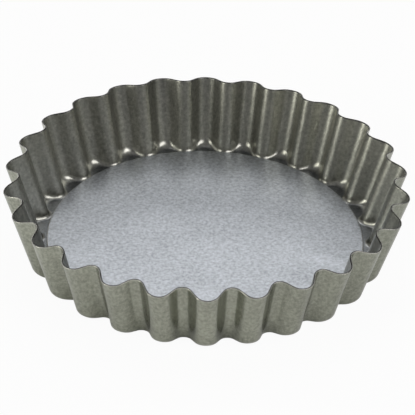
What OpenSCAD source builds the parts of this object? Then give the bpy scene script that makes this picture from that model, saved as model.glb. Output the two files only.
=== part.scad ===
// Mini tart tin with a loose base: a fluted sheet ring whose ledge carries a flat round disc.
// Millimetres, +Z up. The origin is the centre of the foot plane, and an outward flute faces -Y.

/* [Rim] */
// Outside diameter of the rim, over the outward flutes
rim_d = 100; // [94:1:120]
// Number of flutes round the wall
flutes = 26; // [20:1:32]
// Depth of a flute at the rim, from its outward crest to its inward crest
rim_flute = 3.7; // [2.5:0.1:4.5]
// How much higher the rim stands on an inward crest than on an outward crest
rim_wave = 1; // [0:0.1:2]

/* [Wall] */
// Overall height of the tin
tin_h = 18.8; // [14:0.2:30]
// Outside diameter over the outward flutes, where the straight wall would meet the foot plane
foot_d = 89; // [84:0.5:91]
// Depth of a flute at the foot
foot_flute = 3.6; // [2.5:0.1:4.5]
// Slope of a flute's flank, as a share of the slope that plain arcs would have
flank_share = 0.79; // [0.6:0.01:0.95]
// Outward crest's radius, as a share of both crests' radii together
crest_share = 0.6; // [0.4:0.01:0.7]

/* [Sheet and bends] */
// Thickness of the ring's sheet
sheet_t = 0.4; // [0.3:0.05:0.8]
// Outside radius of the bend into the ledge, under an outward flute
out_bend_r = 3.2; // [1.5:0.1:5]
// Outside radius of the bend into the ledge, under an inward flute
in_bend_r = 1.6; // [1.2:0.1:3]

/* [Loose base] */
// Thickness of the loose base
base_t = 1.1; // [0.5:0.05:1.5]
// Radius that rounds the loose base's cut edge
base_edge_r = 0.2; // [0.05:0.05:0.25]
// Free play between the loose base's edge and the bends of the inward flutes
base_play = 0.35; // [0.1:0.05:1]
// How far the ring's ledge reaches in under the loose base
ledge_lap = 4.5; // [2:0.5:8]

/* [Hidden] */

// Angle of the first outward flute
first_flute = -90;
// Facets along a quarter flute's outward arc, its inward arc, and down a bend
out_steps = 3;
in_steps = 2;
bend_steps = 4;
// Facets of a rounded edge, and of a full circle
edge_steps = 4;
circle_steps = 180;
// How far a cutting tool passes the sheet it cuts
pass = 1;

rim_mid_r = rim_d / 2 - rim_flute / 2;
foot_mid_r = foot_d / 2 - foot_flute / 2;

// The ledge is flat inside the bend of the inward flutes, which lean outward by in_lean.
in_lean = atan((rim_d / 2 - rim_flute - (foot_d / 2 - foot_flute)) / tin_h);
ledge_flat_r = foot_d / 2 - foot_flute - in_bend_r * tan((90 - in_lean) / 2);
base_r = ledge_flat_r - base_play;
opening_r = base_r - ledge_lap;

function unit(v) = v / norm(v);

// One flute's outline on a level, from an outward crest to just before the next one, as
// [distance along the mean circle, distance out from it]: two arcs joined by a straight flank.
function flute_outline(mid_r, depth) =
    let (
        half = PI * mid_r / flutes,
        flank = 2 * atan(depth / half) * flank_share,
        radii = (half * tan(flank) - depth) / (sin(flank) * tan(flank) - 1 + cos(flank)),
        out_r = radii * crest_share,
        in_r = radii - out_r,
        falling = concat(
            [for (k = [0:out_steps])
                let (a = flank * k / out_steps) [out_r * sin(a), depth / 2 - out_r * (1 - cos(a))]],
            [for (k = [in_steps:-1:1])
                let (a = flank * k / in_steps) [half - in_r * sin(a), in_r * (1 - cos(a)) - depth / 2]]
        )
    )
    concat(
        falling,
        [[half, -depth / 2]],
        [for (k = [len(falling) - 1:-1:1]) [2 * half - falling[k][0], falling[k][1]]]
    );

// The whole outline of a level, as [angle, radius, crest], where crest runs from 1 on an
// outward crest to 0 on an inward crest.
function level_outline(mid_r, depth) =
    let (outline = flute_outline(mid_r, depth))
    [for (i = [0:flutes - 1]) for (p = outline)
        [first_flute + 360 * i / flutes + p[0] / mid_r * 180 / PI, mid_r + p[1], p[1] / depth + 0.5]];

function polar_point(at, z) = [at[1] * cos(at[0]), at[1] * sin(at[0]), z];

// The sheet's outer face, as one section for each column: [point, direction down the section] from
// the rim, down the straight wall, round the bend and onto the flat of the ledge.
function outer_section(rim_at, foot_at) =
    let (
        top = polar_point(rim_at, tin_h - rim_wave * rim_at[2]),
        corner = polar_point(foot_at, 0),
        up = unit(top - corner),
        inward = -unit(corner),
        turn = 180 - acos(up * inward),
        across = unit(inward - (inward * up) * up),
        bend_r = in_bend_r + (out_bend_r - in_bend_r) * foot_at[2],
        bend_start = corner + bend_r * tan(turn / 2) * up
    )
    concat(
        [[top, -up]],
        [for (k = [0:bend_steps])
            let (a = turn * k / bend_steps)
            [bend_start + bend_r * ((1 - cos(a)) * across - sin(a) * up), sin(a) * across - cos(a) * up]]
    );

// The inner face lies one sheet thickness in from the outer face, square to it.
function inner_point(before, here, after) =
    here[0] - sheet_t * unit(cross(after[0] - before[0], -here[1]));

// The rim's edge is cut level, so the inner face's top slides down its section to the outer one's height.
function level_cut(inside, here) = inside + here[1] * (here[0][2] - inside[2]) / here[1][2];

module pressed_cup() {
    rim_line = level_outline(rim_mid_r, rim_flute);
    foot_line = level_outline(foot_mid_r, foot_flute);
    columns = len(rim_line);
    rows = bend_steps + 2;
    sections = [for (c = [0:columns - 1]) outer_section(rim_line[c], foot_line[c])];
    outer = [for (r = [0:rows - 1]) for (c = [0:columns - 1]) sections[c][r][0]];
    inner = [for (r = [0:rows - 1]) for (c = [0:columns - 1])
        let (
            here = sections[c][r],
            inside = inner_point(
                sections[(c + columns - 1) % columns][r], here, sections[(c + 1) % columns][r]
            )
        )
        r == 0 ? level_cut(inside, here) : inside];
    inner_start = rows * columns;
    under_centre = 2 * rows * columns;
    top_centre = under_centre + 1;
    function at(start, r, c) = start + r * columns + c % columns;
    skins = [for (r = [0:rows - 2]) for (c = [0:columns - 1]) each [
        [at(0, r, c), at(0, r, c + 1), at(0, r + 1, c + 1)],
        [at(0, r, c), at(0, r + 1, c + 1), at(0, r + 1, c)],
        [at(inner_start, r, c), at(inner_start, r + 1, c + 1), at(inner_start, r, c + 1)],
        [at(inner_start, r, c), at(inner_start, r + 1, c), at(inner_start, r + 1, c + 1)]
    ]];
    closing = [for (c = [0:columns - 1]) each [
        [at(0, 0, c), at(inner_start, 0, c), at(inner_start, 0, c + 1)],
        [at(0, 0, c), at(inner_start, 0, c + 1), at(0, 0, c + 1)],
        [at(0, rows - 1, c), at(0, rows - 1, c + 1), under_centre],
        [at(inner_start, rows - 1, c + 1), at(inner_start, rows - 1, c), top_centre]
    ]];
    polyhedron(
        points = concat(outer, inner, [[0, 0, 0], [0, 0, sheet_t]]),
        faces = concat(skins, closing)
    );
}

// The pressing: the flared, fluted wall and the flat ledge, with the opening pierced inside it.
module fluted_ring() {
    color([0.47, 0.47, 0.42])
    difference() {
        pressed_cup();
        translate([0, 0, -pass])
        cylinder(r = opening_r, h = sheet_t + 2 * pass, $fn = circle_steps);
    }
}

// Quarter circle of the base's edge, from angle a to a + 90 about the edge's own centre.
function edge_arc(z, a) = [for (k = [0:edge_steps])
    let (b = a + 90 * k / edge_steps)
    [base_r - base_edge_r + base_edge_r * cos(b), z + base_edge_r * sin(b)]];

// The disc that lies on the ledge and lifts out.
module loose_base() {
    color([0.68, 0.69, 0.72])
    translate([0, 0, sheet_t])
    rotate_extrude($fn = circle_steps)
    polygon(concat(
        [[0, 0]],
        edge_arc(base_edge_r, -90),
        edge_arc(base_t - base_edge_r, 0),
        [[0, base_t]]
    ));
}

fluted_ring();
loose_base();
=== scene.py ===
"""Looks of the mini tart tin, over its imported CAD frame.

Sizes are metres in the row frame, and millimetres where the two pieces are shaped. The ring and
the base are built again here from the same arcs and lines as the CAD solids, with finer facets,
rounded cut edges and a coated finish.
"""

import math

import bpy
import numpy as np
from mathutils import Matrix, Vector


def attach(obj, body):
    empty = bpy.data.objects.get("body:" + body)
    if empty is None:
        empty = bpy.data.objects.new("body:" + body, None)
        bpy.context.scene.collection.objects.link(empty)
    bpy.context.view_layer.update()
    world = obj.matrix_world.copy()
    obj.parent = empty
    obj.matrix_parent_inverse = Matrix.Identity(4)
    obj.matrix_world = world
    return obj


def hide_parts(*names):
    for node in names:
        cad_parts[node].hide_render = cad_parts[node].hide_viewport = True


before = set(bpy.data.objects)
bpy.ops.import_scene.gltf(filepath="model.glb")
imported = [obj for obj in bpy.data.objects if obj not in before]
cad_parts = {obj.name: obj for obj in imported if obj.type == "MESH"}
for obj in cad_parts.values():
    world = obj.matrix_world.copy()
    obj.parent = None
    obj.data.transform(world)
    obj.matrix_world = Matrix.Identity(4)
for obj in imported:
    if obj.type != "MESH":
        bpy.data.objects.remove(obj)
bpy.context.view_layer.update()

MM = 0.001

# The tin's sizes, in millimetres, as in the CAD source
FLUTES = 26
FIRST_FLUTE = math.radians(-90)
RIM_D, RIM_FLUTE, RIM_WAVE = 100.0, 3.7, 1.0
TIN_H = 18.8
FOOT_D, FOOT_FLUTE = 89.0, 3.6
FLANK_SHARE, CREST_SHARE = 0.79, 0.6
SHEET_T = 0.4
OUT_BEND_R, IN_BEND_R = 3.2, 1.6
BASE_T, BASE_EDGE_R, BASE_PLAY, LEDGE_LAP = 1.1, 0.2, 0.35, 4.5

RIM_MID_R = RIM_D / 2 - RIM_FLUTE / 2
FOOT_MID_R = FOOT_D / 2 - FOOT_FLUTE / 2
IN_LEAN = math.atan((RIM_D / 2 - RIM_FLUTE - (FOOT_D / 2 - FOOT_FLUTE)) / TIN_H)
BASE_R = (
    FOOT_D / 2
    - FOOT_FLUTE
    - IN_BEND_R * math.tan((math.pi / 2 - IN_LEAN) / 2)
    - BASE_PLAY
)
OPENING_R = BASE_R - LEDGE_LAP

# How the pressed rim stands off its true circle: waves as (millimetres, count, phase), bulges as
# (millimetres, degrees round the rim, width in degrees), and how far it lies in all round
OFF_ROUND_WAVES = ((0.14, 2, 1.5), (0.10, 3, -0.35), (0.06, 4, -0.70), (-0.10, 1, 0.0))
OFF_ROUND_BULGES = ((0.55, 108, 11), (0.28, 24, 9))
OFF_ROUND_IN = 0.10
# How the rim's height wavers, how much lower it lies all round, and how far it stays below TIN_H
UNEVEN_WAVES = ((0.05, 5, 0.6), (0.05, 9, -1.1))
UNEVEN_DOWN, UNEVEN_SPARE = 0.1, 0.01
# Where the rim's inward crests are less deep, and how far they stand out and up there
SHALLOW_BULGES = ((1, 112, 18), (1, 18, 14))
SHALLOW_OUT, SHALLOW_UP = 0.22, 0.1
# How far the foot lies in at the left and the right
FOOT_IN = 0.13
# How far the loose base lies back from the ring's axis, within its play
BASE_BACK = 0.2

# The rows of the ring's section: the rim, millimetres below it, shares of the straight wall, steps
# round the bend, and shares of the ledge
RIM_ROWS = (0.12, 0.35, 0.8)
WALL_ROWS = np.linspace(0.12, 1, 9)[:-1]
BEND_STEPS = 12
LEDGE_ROWS = (0.15, 0.5, 1.0)
BEND_ROW = 1 + len(RIM_ROWS) + len(WALL_ROWS)
# The step of the bend from which the ring has the ledge's painted shade, a darker colour for the
# shade in the pockets round the base, and the steps to reach it
LEDGE_STEP, LEDGE_FADE = 7, 4
# The first and the last burnished step of the bend
FIRST_BURNISHED, LAST_BURNISHED = 2, 9
# The cut edges are eased by EASE, with a point between that lies EASE_MID in from both faces
EASE, EASE_MID = 0.1, 0.035
# How far in from the outer face the rim's line of bare metal with a painted highlight ends, and how
# fast it turns to the painted shade line
BARE_LIT_LINE, BARE_LIT_FADE = 0.12, 0.02

# The loose base's facets round it and round half its edge, and the radii of its inner rows
BASE_SEGMENTS, EDGE_STEPS = 416, 6
BASE_ROWS = (4, 12, 20, 28, 34, 37, 38.4)
# Edge radii from the base's edge to its last flat row, and to where the edge's marks start
LAST_FLAT, EDGE_MARKS = 2.5, 0.9


# ---- geometry -------------------------------------------------------------------------------


def unit(v):
    return v / np.linalg.norm(v, axis=-1, keepdims=True)


def flute_outline(mid_r, depth, arc_out=8, line=3, arc_in=6):
    """One flute as [along the mean circle, out from it], outward crest to the next one's start."""
    half = math.pi * mid_r / FLUTES
    flank = 2 * math.atan(depth / half) * FLANK_SHARE
    radii = (half * math.tan(flank) - depth) / (
        math.sin(flank) * math.tan(flank) - 1 + math.cos(flank)
    )
    out_r = radii * CREST_SHARE
    in_r = radii - out_r
    a = flank * np.arange(arc_out + 1) / arc_out
    falling = np.stack([out_r * np.sin(a), depth / 2 - out_r * (1 - np.cos(a))], 1)
    b = flank * np.arange(arc_in, 0, -1) / arc_in
    rising = np.stack([half - in_r * np.sin(b), in_r * (1 - np.cos(b)) - depth / 2], 1)
    s = (np.arange(1, line) / line)[:, None]
    straight = falling[-1] * (1 - s) + rising[0] * s
    fall = np.concatenate([falling, straight, rising])
    back = fall[:0:-1] * [-1, 1] + [2 * half, 0]
    return np.concatenate([fall, [[half, -depth / 2]], back])


def level_outline(mid_r, depth):
    """The whole outline of a level, as angle, radius and crest (1 outward, 0 inward)."""
    one = flute_outline(mid_r, depth)
    starts = [FIRST_FLUTE + 2 * math.pi * i / FLUTES for i in range(FLUTES)]
    angle = np.concatenate([start + one[:, 0] / mid_r for start in starts])
    out = np.tile(one[:, 1], FLUTES)
    return angle, mid_r + out, out / depth + 0.5


def waves(angle, terms):
    """Waves round the rim, one for each size, count and phase."""
    return [size * np.cos(count * angle + phase) for size, count, phase in terms]


def bulges(angle, terms):
    """Soft bumps round the rim, one for each size, centre and width in degrees."""
    made = []
    for size, at, wide in terms:
        off = (np.degrees(angle) - at + 180) % 360 - 180
        made.append(size * np.exp(-((off / wide) ** 2)))
    return made


def polar(angle, radius, z):
    return np.stack(
        [radius * np.cos(angle), radius * np.sin(angle), np.zeros_like(angle) + z], 1
    )


def grid_quads(rows, cols, closed):
    """The quads of a grid of points whose rows run round the tin; closed joins last and first."""
    r, c = np.meshgrid(np.arange(rows if closed else rows - 1), np.arange(cols), indexing="ij")
    rn, cn = (r + 1) % rows, (c + 1) % cols
    corners = [r * cols + c, rn * cols + c, rn * cols + cn, r * cols + cn]
    return np.stack(corners, -1).reshape(-1, 4)


def ring_section():
    """The ring's outer face, as rows of (points, direction down the sheet) from the rim down."""
    angle, rim_r, crest = level_outline(RIM_MID_R, RIM_FLUTE)
    foot_angle, foot_r, foot_crest = level_outline(FOOT_MID_R, FOOT_FLUTE)
    off_round = sum(waves(angle, OFF_ROUND_WAVES) + bulges(angle, OFF_ROUND_BULGES)) - OFF_ROUND_IN
    uneven = sum(waves(angle, UNEVEN_WAVES)) - UNEVEN_DOWN
    shallow = (1 - crest) * sum(bulges(angle, SHALLOW_BULGES))
    rim_z = TIN_H - RIM_WAVE * crest + uneven + SHALLOW_UP * shallow
    top = polar(
        angle,
        rim_r + off_round + SHALLOW_OUT * shallow,
        np.minimum(rim_z, TIN_H - UNEVEN_SPARE),
    )
    corner = polar(foot_angle, foot_r - FOOT_IN * np.cos(foot_angle) ** 2, 0.0)
    up = unit(top - corner)
    inward = -unit(corner)
    turn = math.pi - np.arccos((up * inward).sum(1))
    across = unit(inward - (inward * up).sum(1)[:, None] * up)
    bend_r = IN_BEND_R + (OUT_BEND_R - IN_BEND_R) * foot_crest
    start = corner + (bend_r * np.tan(turn / 2))[:, None] * up
    wall = np.linalg.norm(start - top, axis=1)[:, None]

    rows = [(top, -up)]
    rows += [(top - up * drop, -up) for drop in RIM_ROWS]
    rows += [(top - up * wall * share, -up) for share in WALL_ROWS]
    for k in range(BEND_STEPS + 1):
        a = turn * k / BEND_STEPS
        sa, ca = np.sin(a)[:, None], np.cos(a)[:, None]
        bent = start + bend_r[:, None] * ((1 - ca) * across - sa * up)
        rows.append((bent, sa * across - ca * up))
    end = rows[-1][0]
    run = (np.linalg.norm(end[:, :2], axis=1) - OPENING_R)[:, None]
    rows += [(end + inward * run * share, inward) for share in LEDGE_ROWS]
    return rows, inward


def build_ring():
    """The pressed sheet, as one closed loop of rows: up its outer face and down its inner one."""
    rows, inward = ring_section()
    count = len(rows)
    outer = np.stack([points for points, _ in rows])
    down = np.stack([unit(way) for _, way in rows])
    along = np.roll(outer, -1, axis=1) - np.roll(outer, 1, axis=1)
    inner = outer - SHEET_T * unit(np.cross(along, -down))
    level = (outer[0, :, 2] - inner[0, :, 2]) / down[0, :, 2]
    inner[0] = inner[0] + down[0] * level[:, None]

    # The cut rim and the pierced edge are eased by a small radius.
    over = unit(inner[0] - outer[0])
    rim = [
        outer[0] + down[0] * EASE_MID + over * EASE_MID,
        outer[0] + over * EASE,
        outer[0] + over * BARE_LIT_LINE,
        outer[0] + over * (BARE_LIT_LINE + BARE_LIT_FADE),
        inner[0] - over * EASE,
        inner[0] + down[0] * EASE_MID - over * EASE_MID,
    ]
    lip = [
        inner[-1] - inward * EASE,
        inner[-1] - inward * EASE_MID - [0, 0, EASE_MID],
        inner[-1] - [0, 0, EASE],
        outer[-1] + [0, 0, EASE],
        outer[-1] - inward * EASE_MID + [0, 0, EASE_MID],
        outer[-1] - inward * EASE,
    ]
    loop = [*outer[count - 2 : 0 : -1], *rim, *inner[1 : count - 1], *lip]
    cols = outer.shape[1]

    def mark(outside, on_rim, inside, on_lip):
        """One value for each row of the loop, where both faces are given from the rim down."""
        return np.repeat([*outside[::-1], *on_rim, *inside, *on_lip], cols)

    row = np.arange(1, count - 1)
    step = row - BEND_ROW
    none, all_of_it = np.zeros(len(row)), np.ones(len(row))
    first = np.where(row == 1, 1.0, 0.0)
    # Where the ledge takes its painted shade
    flat = np.clip((step - LEDGE_STEP) / LEDGE_FADE, 0.0, 1.0)
    bend = np.where((step >= FIRST_BURNISHED) & (step <= LAST_BURNISHED), 1.0, 0.0)
    no_rim, no_lip, whole_lip = [0.0] * len(rim), [0.0] * len(lip), [1.0] * len(lip)
    # The rim's bright line and the outer face's first row are bare cut metal with a painted
    # highlight; the rim's dark line, the inner face's first row and the pierced edge's dark are
    # painted shade
    bare_lit_rim, bare_lit_lip = [1.0, 0.9, 0.9, 0.0, 0.0, 0.0], [0.0, 0.3, 0.5, 0.5, 0.3, 0.0]
    shade_rim, shade_lip = [0.0, 0.0, 0.0, 1.0, 1.0, 1.0], [0.2, 0.5, 0.5, 0.5, 0.5, 0.2]
    in_rim, in_lip = [0.0, 0.3, 0.45, 0.5, 0.7, 1.0], [1.0, 1.0, 0.7, 0.3, 0.0, 0.0]
    marks = {
        "bare_lit_edge": mark(0.4 * first, bare_lit_rim, none, bare_lit_lip),
        "shade_edge": mark(none, shade_rim, first, shade_lip),
        "inside": mark(none, in_rim, all_of_it, in_lip),
        "ledge": mark(none, no_rim, flat, whole_lip),
        "bend": mark(bend, no_rim, bend, no_lip),
    }
    return np.concatenate(loop), grid_quads(len(loop), cols, True).tolist(), marks


def build_base():
    """The loose base: a revolved disc with a rounded cut edge, from its underside to its top."""
    r, t, e = BASE_R, BASE_T, BASE_EDGE_R
    arc = np.linspace(-math.pi / 2, math.pi / 2, 2 * EDGE_STEPS + 1)
    flat_r = r - LAST_FLAT * e
    profile = np.array(
        [(x, 0.0) for x in (*BASE_ROWS, flat_r)]
        + [(r - e + e * math.cos(a), e + e * math.sin(a)) for a in arc[: EDGE_STEPS + 1]]
        + [(r - e + e * math.cos(a), t - e + e * math.sin(a)) for a in arc[EDGE_STEPS:]]
        + [(x, t) for x in (flat_r, *BASE_ROWS[::-1])]
    )
    turn = 2 * math.pi * np.arange(BASE_SEGMENTS) / BASE_SEGMENTS
    rings = [polar(turn, x, z + SHEET_T) + [0, BASE_BACK, 0] for x, z in profile]
    middle = [[0, BASE_BACK, SHEET_T], [0, BASE_BACK, SHEET_T + t]]
    points = np.concatenate([*rings, middle])

    faces = grid_quads(len(profile), BASE_SEGMENTS, False)[:, [0, 3, 2, 1]].tolist()
    last = (len(profile) - 1) * BASE_SEGMENTS
    under_middle = len(profile) * BASE_SEGMENTS
    top_middle = under_middle + 1
    for j in range(BASE_SEGMENTS):
        k = (j + 1) % BASE_SEGMENTS
        faces.append([under_middle, k, j])
        faces.append([top_middle, last + j, last + k])

    def mark(values, under, top):
        """One value for each row of the profile, and one for each middle."""
        return np.concatenate([np.repeat(values, BASE_SEGMENTS), [under, top]])

    height = profile[:, 1] / t
    on_edge = profile[:, 0] > r - EDGE_MARKS * e
    # The base's cut edge: bare metal with a painted highlight in its upper half, painted shade in
    # its lower half
    upper, lower = np.clip(2 * height - 1, 0, 1), np.clip(1.3 - 2 * height, 0, 1)
    marks = {
        "bare_lit_edge": mark(np.where(on_edge, upper, 0.0), 0, 0),
        "shade_edge": mark(np.where(on_edge, lower, 0.0), 0, 0),
        "inside": mark(np.where(height > 0.5, 1.0, 0.0), 0, 1),
    }
    return points, faces, marks


def place(name, data):
    """A new object in the scene."""
    made = bpy.data.objects.new(name, data)
    bpy.context.scene.collection.objects.link(made)
    return made


def piece(name, built, material):
    """A piece of the tin from its points in millimetres, its faces and its points' marks."""
    points, faces, marks = built
    mesh = bpy.data.meshes.new(name)
    mesh.from_pydata((points * MM).tolist(), [], faces)
    mesh.update()
    mesh.shade_smooth()
    for key, values in marks.items():
        attribute = mesh.attributes.new(key, "FLOAT", "POINT")
        attribute.data.foreach_set("value", np.asarray(values, np.float32))
    mesh.materials.append(material)
    return place(name, mesh)


# ---- materials ------------------------------------------------------------------------------

# Near black for the painted shade lines along the cut edges, and bare metal with a painted
# highlight for the bright lines
SHADE_EDGE_COLOUR = (0.02, 0.02, 0.018, 1)
BARE_LIT_EDGE = (0.5, 0.49, 0.46, 1)
# Painted shade for the ledge in the pockets round the base
LEDGE_SHADE_COLOUR = (0.21, 0.22, 0.23, 1)
WHITE = (1, 1, 1, 1)
# The shares of a coat's flakes and of its coarser cloud in its mottle, and in its orange peel
FLAKES_TONE, CLOUD_TONE = 0.5, 0.8
FLAKES_PEEL, CLOUD_PEEL = 0.5, 0.9
# The height of the orange peel, in metres
PEEL_HEIGHT = 0.00005
# How fast the drawn grain changes with height, as a share of its change along the wall
DRAWN = 0.16
# How far the tone drifts either way over the tin
DRIFT_TONE = 0.06
# How much smoother the burnished bends are
BURNISHED = 0.045
# The least share of the bare metal colour, with its painted highlight, along a bright edge
LEAST_BARE = 0.7
# The share of a base patch's reach within which it is full
BASE_PATCH_FULL = 0.25
# Faint patches on the base: centre, turn in degrees, half length, half width, change in tone. The
# lighter one is a painted reflection, the darker one a darker tone beside it
REFLECTION_AND_DARK_PATCHES = (
    (0.0287, -0.0093, -23, 0.0092, 0.0030, 0.18),
    (0.0230, -0.0160, -20, 0.0070, 0.0045, -0.13),
)


class Nodes:
    """A short way to write a node tree: each call adds a node and returns one of its outputs."""

    def __init__(self, owner):
        owner.use_nodes = True
        self.tree = owner.node_tree
        self.tree.nodes.clear()

    def add(self, kind, inputs=None, output=0, **settings):
        node = self.tree.nodes.new(kind)
        for key, value in settings.items():
            setattr(node, key, value)
        for key, value in (inputs or {}).items():
            if isinstance(value, bpy.types.NodeSocket):
                self.tree.links.new(value, node.inputs[key])
            else:
                node.inputs[key].default_value = value
        return node.outputs[output] if len(node.outputs) else None

    def math(self, operation, *values):
        return self.add("ShaderNodeMath", dict(enumerate(values)), operation=operation)

    def mix(self, factor, a, b, kind="MIX"):
        inputs = {0: factor, 6: a, 7: b}
        return self.add("ShaderNodeMix", inputs, output=2, data_type="RGBA", blend_type=kind)

    def noise(self, at, scale, detail):
        return self.add(
            "ShaderNodeTexNoise",
            {"Vector": at, "Scale": scale, "Detail": detail, "Roughness": 0.5},
        )

    def span(self, value, lo, hi, to_lo, to_hi):
        """The range lo to hi becomes to_lo to to_hi, and stays there past its ends."""
        inputs = {0: value, 1: lo, 2: hi, 3: to_lo, 4: to_hi}
        return self.add("ShaderNodeMapRange", inputs)

    def sway(self, noise, by):
        """A noise, which lies mostly between 0.3 and 0.7, as a change by so much either way."""
        return self.span(noise, 0.3, 0.7, -by, by)

    def length(self, vector):
        return self.add("ShaderNodeVectorMath", {0: vector}, output=1, operation="LENGTH")


def coated(
    name,
    inside_colour,
    outside_colour,
    rough_in,
    rough_out,
    mottle,
    peel,
    grain=0.0,
    gloss=0.0,
    tone_patches=(),
):
    """Baked coating on steel sheet: flake mottle, drawn grain, orange peel, lighter and darker
    patches and a cut edge.

    The marks of the mesh's points say where the inside, the ledge's painted shade, the burnished
    bends, and the cut edges' bare lines with painted highlight and lines of painted shade are.
    """
    material = bpy.data.materials.new(name)
    n = Nodes(material)
    here = n.add("ShaderNodeTexCoord", output=3)
    drawn = n.add("ShaderNodeMapping", {"Vector": here, "Scale": (1.0, 1.0, DRAWN)})
    flakes = n.noise(here, scale=2100.0, detail=1.0)
    cloud = n.noise(here, scale=1200.0, detail=1.0)
    drift = n.noise(here, scale=70.0, detail=2.0)
    lines = n.noise(drawn, scale=1700.0, detail=2.0)
    chips = n.noise(here, scale=160.0, detail=3.0)

    tone = n.sway(flakes, FLAKES_TONE * mottle)
    tone = n.math("ADD", tone, n.sway(cloud, CLOUD_TONE * mottle))
    tone = n.math("ADD", tone, n.sway(lines, grain))
    tone = n.math("ADD", tone, n.sway(drift, DRIFT_TONE))
    tone = n.math("ADD", tone, 1.0)
    # Patches that lighten or darken the tone: the lighter one is a painted reflection
    for x, y, turn, long, wide, change in tone_patches:
        ellipse = {
            "Vector": here,
            "Location": (x, y, 0),
            "Rotation": (0, 0, math.radians(turn)),
            "Scale": (long, wide, 1),
        }
        away = n.length(n.add("ShaderNodeMapping", ellipse, vector_type="TEXTURE"))
        tone = n.math("ADD", tone, n.span(away, BASE_PATCH_FULL, 1.0, change, 0.0))
    grey = n.add("ShaderNodeCombineColor", {0: tone, 1: tone, 2: tone})

    mark = {
        key: n.add("ShaderNodeAttribute", output=2, attribute_name=key)
        for key in ("inside", "ledge", "bend", "bare_lit_edge", "shade_edge")
    }
    coat = n.mix(mark["inside"], (*outside_colour, 1), (*inside_colour, 1))
    # The ledge's darker colour is painted shade
    coat = n.mix(mark["ledge"], coat, LEDGE_SHADE_COLOUR)
    coat = n.mix(1.0, coat, grey, "MULTIPLY")
    worn = n.span(chips, 0.40, 0.60, LEAST_BARE, 1.0)
    # Near-black painted shade lines, then bright lines of bare metal with a painted highlight,
    # along the cut edges
    colour = n.mix(mark["shade_edge"], coat, SHADE_EDGE_COLOUR)
    colour = n.mix(n.math("MULTIPLY", mark["bare_lit_edge"], worn), colour, BARE_LIT_EDGE)

    rough = n.span(mark["inside"], 0.0, 1.0, rough_out, rough_in)
    rough = n.math("SUBTRACT", rough, n.math("MULTIPLY", mark["bend"], BURNISHED))
    rough = n.math("ADD", rough, n.sway(cloud, gloss))
    fine = n.math("MULTIPLY", flakes, FLAKES_PEEL)
    height = n.math("ADD", fine, n.math("MULTIPLY", cloud, CLOUD_PEEL))
    bump = n.add("ShaderNodeBump", {"Strength": peel, "Distance": PEEL_HEIGHT, "Height": height})
    shader = n.add(
        "ShaderNodeBsdfPrincipled",
        {
            "Base Color": colour,
            "Metallic": 1.0,
            "Roughness": rough,
            "Normal": bump,
            "Coat Weight": 0.1,
            "Coat Roughness": 0.12,
        },
    )
    n.add("ShaderNodeOutputMaterial", {"Surface": shader})
    return material


# Each coat's inside and outside colours are one coating in two tones; the difference stands in for
# the different light on the two sides, painted light
wall_coat = coated(
    "wall_coat",
    inside_colour=(0.44, 0.44, 0.405),
    outside_colour=(0.308, 0.316, 0.267),
    rough_in=0.34,
    rough_out=0.24,
    mottle=0.18,
    peel=0.2,
    grain=0.08,
    gloss=0.012,
)
base_coat = coated(
    "base_coat",
    inside_colour=(0.417, 0.438, 0.468),
    outside_colour=(0.32, 0.33, 0.30),
    rough_in=0.35,
    rough_out=0.29,
    mottle=0.22,
    peel=0.08,
    tone_patches=REFLECTION_AND_DARK_PATCHES,
)

ring = piece("fluted_ring_sheet", build_ring(), wall_coat)
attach(ring, "root")
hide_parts("fluted_ring")

base = piece("loose_base_disc", build_base(), base_coat)
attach(base, "root")
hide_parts("loose_base")


# ---- stage, light and camera ----------------------------------------------------------------

# Half the floor's side, and how far it lies below the foot
FLOOR_HALF, FLOOR_DOWN = 4.0, 0.0002
# How much of the camera's view of the floor is plain white, so the rest keeps the tin's shadow
FLOOR_WHITE = 0.95
# How bright the floor looks to glossy rays, near the foot and beyond it, and the radii between; the
# dimmer glow near the foot is a painted shadow of the tin
FOOT_GLOW, FLOOR_GLOW = 0.11, 0.345
GLOW_FROM, GLOW_TO = 0.0415, 0.0475
# The share of that glow at the right, and where it is reached
RIGHT_SHARE, RIGHT_AT = 0.7, 0.045
# The brightness of the room, and of its one darker patch
ROOM_LEVEL, PATCH_LEVEL = 0.165, 0.02
# The patch's azimuth and elevation, and how far it reaches, in full and at all, in degrees
PATCH_AT = (249, 42)
PATCH_FULL, PATCH_REACH = 6, 16
# How far off the lamps stand
LAMP_AWAY = 2.0
WARM, PLAIN = (1.0, 1.0, 0.88), (1, 1, 1)
# The lamps: azimuth, elevation, width and height in degrees, brightness and colour
LAMPS = {
    "back_light": (91, 58, 50, 30, 1.2, PLAIN),
    "back_low_light": (95, 41, 34, 10, 0.8, PLAIN),
    "back_panel": (100, 20, 64, 14, 1.8, PLAIN),
    "left_light": (203, 7, 16, 15, 6.2, WARM),
    "left_panel": (200, 20, 44, 22, 0.8, WARM),
    "left_high_light": (209, 36, 20, 24, 1.7, WARM),
    "right_light": (324, 43, 42, 32, 1.8, (1.0, 0.99, 0.96)),
}
# The photograph's camera, from the fit: angles in radians, place in metres, lens in millimetres
YAW, PITCH, ROLL = 0.01919, 0.592, 0.02827
CAMERA_AT = (-0.00992, -0.53503, 0.37006)
LENS, SENSOR = 226.5, 36


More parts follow.
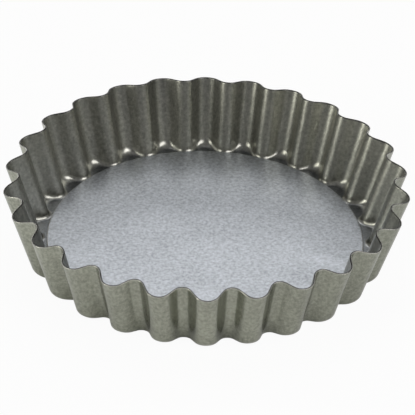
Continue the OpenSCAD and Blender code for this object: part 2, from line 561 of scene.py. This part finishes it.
def white_floor():
    """A white floor, which the camera sees white with the tin's shadow on it.

    To glossy rays it is also a faint glow, weaker near the foot, a painted shadow of the tin, and
    weaker towards the right.
    """
    mesh = bpy.data.meshes.new("floor")
    h = FLOOR_HALF
    mesh.from_pydata([(-h, -h, 0), (h, -h, 0), (h, h, 0), (-h, h, 0)], [], [(0, 1, 2, 3)])
    material = bpy.data.materials.new("floor")
    n = Nodes(material)
    seen = n.add("ShaderNodeLightPath")
    here = n.add("ShaderNodeTexCoord", output=3)
    side = n.add("ShaderNodeSeparateXYZ", {"Vector": here})
    level = n.span(n.length(here), GLOW_FROM, GLOW_TO, FOOT_GLOW, FLOOR_GLOW)
    level = n.math("MULTIPLY", level, n.span(side, 0.0, RIGHT_AT, 1.0, RIGHT_SHARE))
    mirrored = n.math("MULTIPLY", seen.node.outputs["Is Glossy Ray"], level)
    lit = n.add("ShaderNodeBsdfDiffuse", {"Color": (0.85, 0.85, 0.85, 1)})
    glow = n.add("ShaderNodeEmission", {"Color": WHITE, "Strength": mirrored})
    both = n.add("ShaderNodeAddShader", {0: lit, 1: glow})
    white = n.add("ShaderNodeEmission", {"Color": WHITE, "Strength": 1.0})
    share = n.math("MULTIPLY", seen, FLOOR_WHITE)
    shader = n.add("ShaderNodeMixShader", {0: share, 1: both, 2: white})
    n.add("ShaderNodeOutputMaterial", {"Surface": shader})
    mesh.materials.append(material)
    floor = place("floor", mesh)
    floor.location.z = -FLOOR_DOWN


def heading(azimuth, elevation):
    a, e = math.radians(azimuth), math.radians(elevation)
    return Vector((math.cos(a) * math.cos(e), math.sin(a) * math.cos(e), math.sin(e)))


def studio_world():
    """An evenly grey room, white to the camera, with one darker patch high at the front left."""
    world = bpy.data.worlds.new("studio")
    bpy.context.scene.world = world
    n = Nodes(world)
    way = n.add("ShaderNodeTexCoord")
    near = n.add(
        "ShaderNodeVectorMath",
        {0: way, 1: heading(*PATCH_AT)},
        output=1,
        operation="DOT_PRODUCT",
    )
    reach, full = (math.cos(math.radians(angle)) for angle in (PATCH_REACH, PATCH_FULL))
    level = n.span(near, reach, full, ROOM_LEVEL, PATCH_LEVEL)
    lit = n.add("ShaderNodeBackground", {"Color": WHITE, "Strength": level})
    white = n.add("ShaderNodeBackground", {"Color": WHITE, "Strength": 1.0})
    seen = n.add("ShaderNodeLightPath")
    shader = n.add("ShaderNodeMixShader", {0: seen, 1: lit, 2: white})
    n.add("ShaderNodeOutputWorld", {"Surface": shader})


def softbox(name, azimuth, elevation, wide, high, level, colour):
    """A soft lamp that faces the tin, of even brightness over its width and height in degrees."""
    light = bpy.data.lights.new(name, "AREA")
    light.shape = "RECTANGLE"
    light.size = 2 * LAMP_AWAY * math.tan(math.radians(wide / 2))
    light.size_y = 2 * LAMP_AWAY * math.tan(math.radians(high / 2))
    light.energy = level * 4 * light.size * light.size_y
    light.color = colour
    lamp = place(name, light)
    lamp.location = heading(azimuth, elevation) * LAMP_AWAY
    lamp.rotation_mode = "QUATERNION"
    lamp.rotation_quaternion = (-lamp.location).to_track_quat("-Z", "Y")
    lamp.visible_camera = False


def photo_camera():
    ahead = Vector(
        (math.sin(YAW) * math.cos(PITCH), math.cos(YAW) * math.cos(PITCH), -math.sin(PITCH))
    )
    right = Vector((math.cos(YAW), -math.sin(YAW), 0))
    up = right.cross(ahead)
    rolled_right = math.cos(ROLL) * right + math.sin(ROLL) * up
    rolled_up = math.cos(ROLL) * up - math.sin(ROLL) * right
    data = bpy.data.cameras.new("camera")
    data.sensor_width = SENSOR
    data.lens = LENS
    data.clip_start, data.clip_end = 0.05, 20
    camera = place("camera", data)
    turn = Matrix((rolled_right, rolled_up, -ahead)).transposed().to_4x4()
    camera.matrix_world = Matrix.Translation(CAMERA_AT) @ turn
    bpy.context.scene.camera = camera


white_floor()
studio_world()
for lamp_name, lamp_values in LAMPS.items():
    softbox(lamp_name, *lamp_values)
photo_camera()

scene = bpy.context.scene
scene.view_settings.view_transform = "Standard"
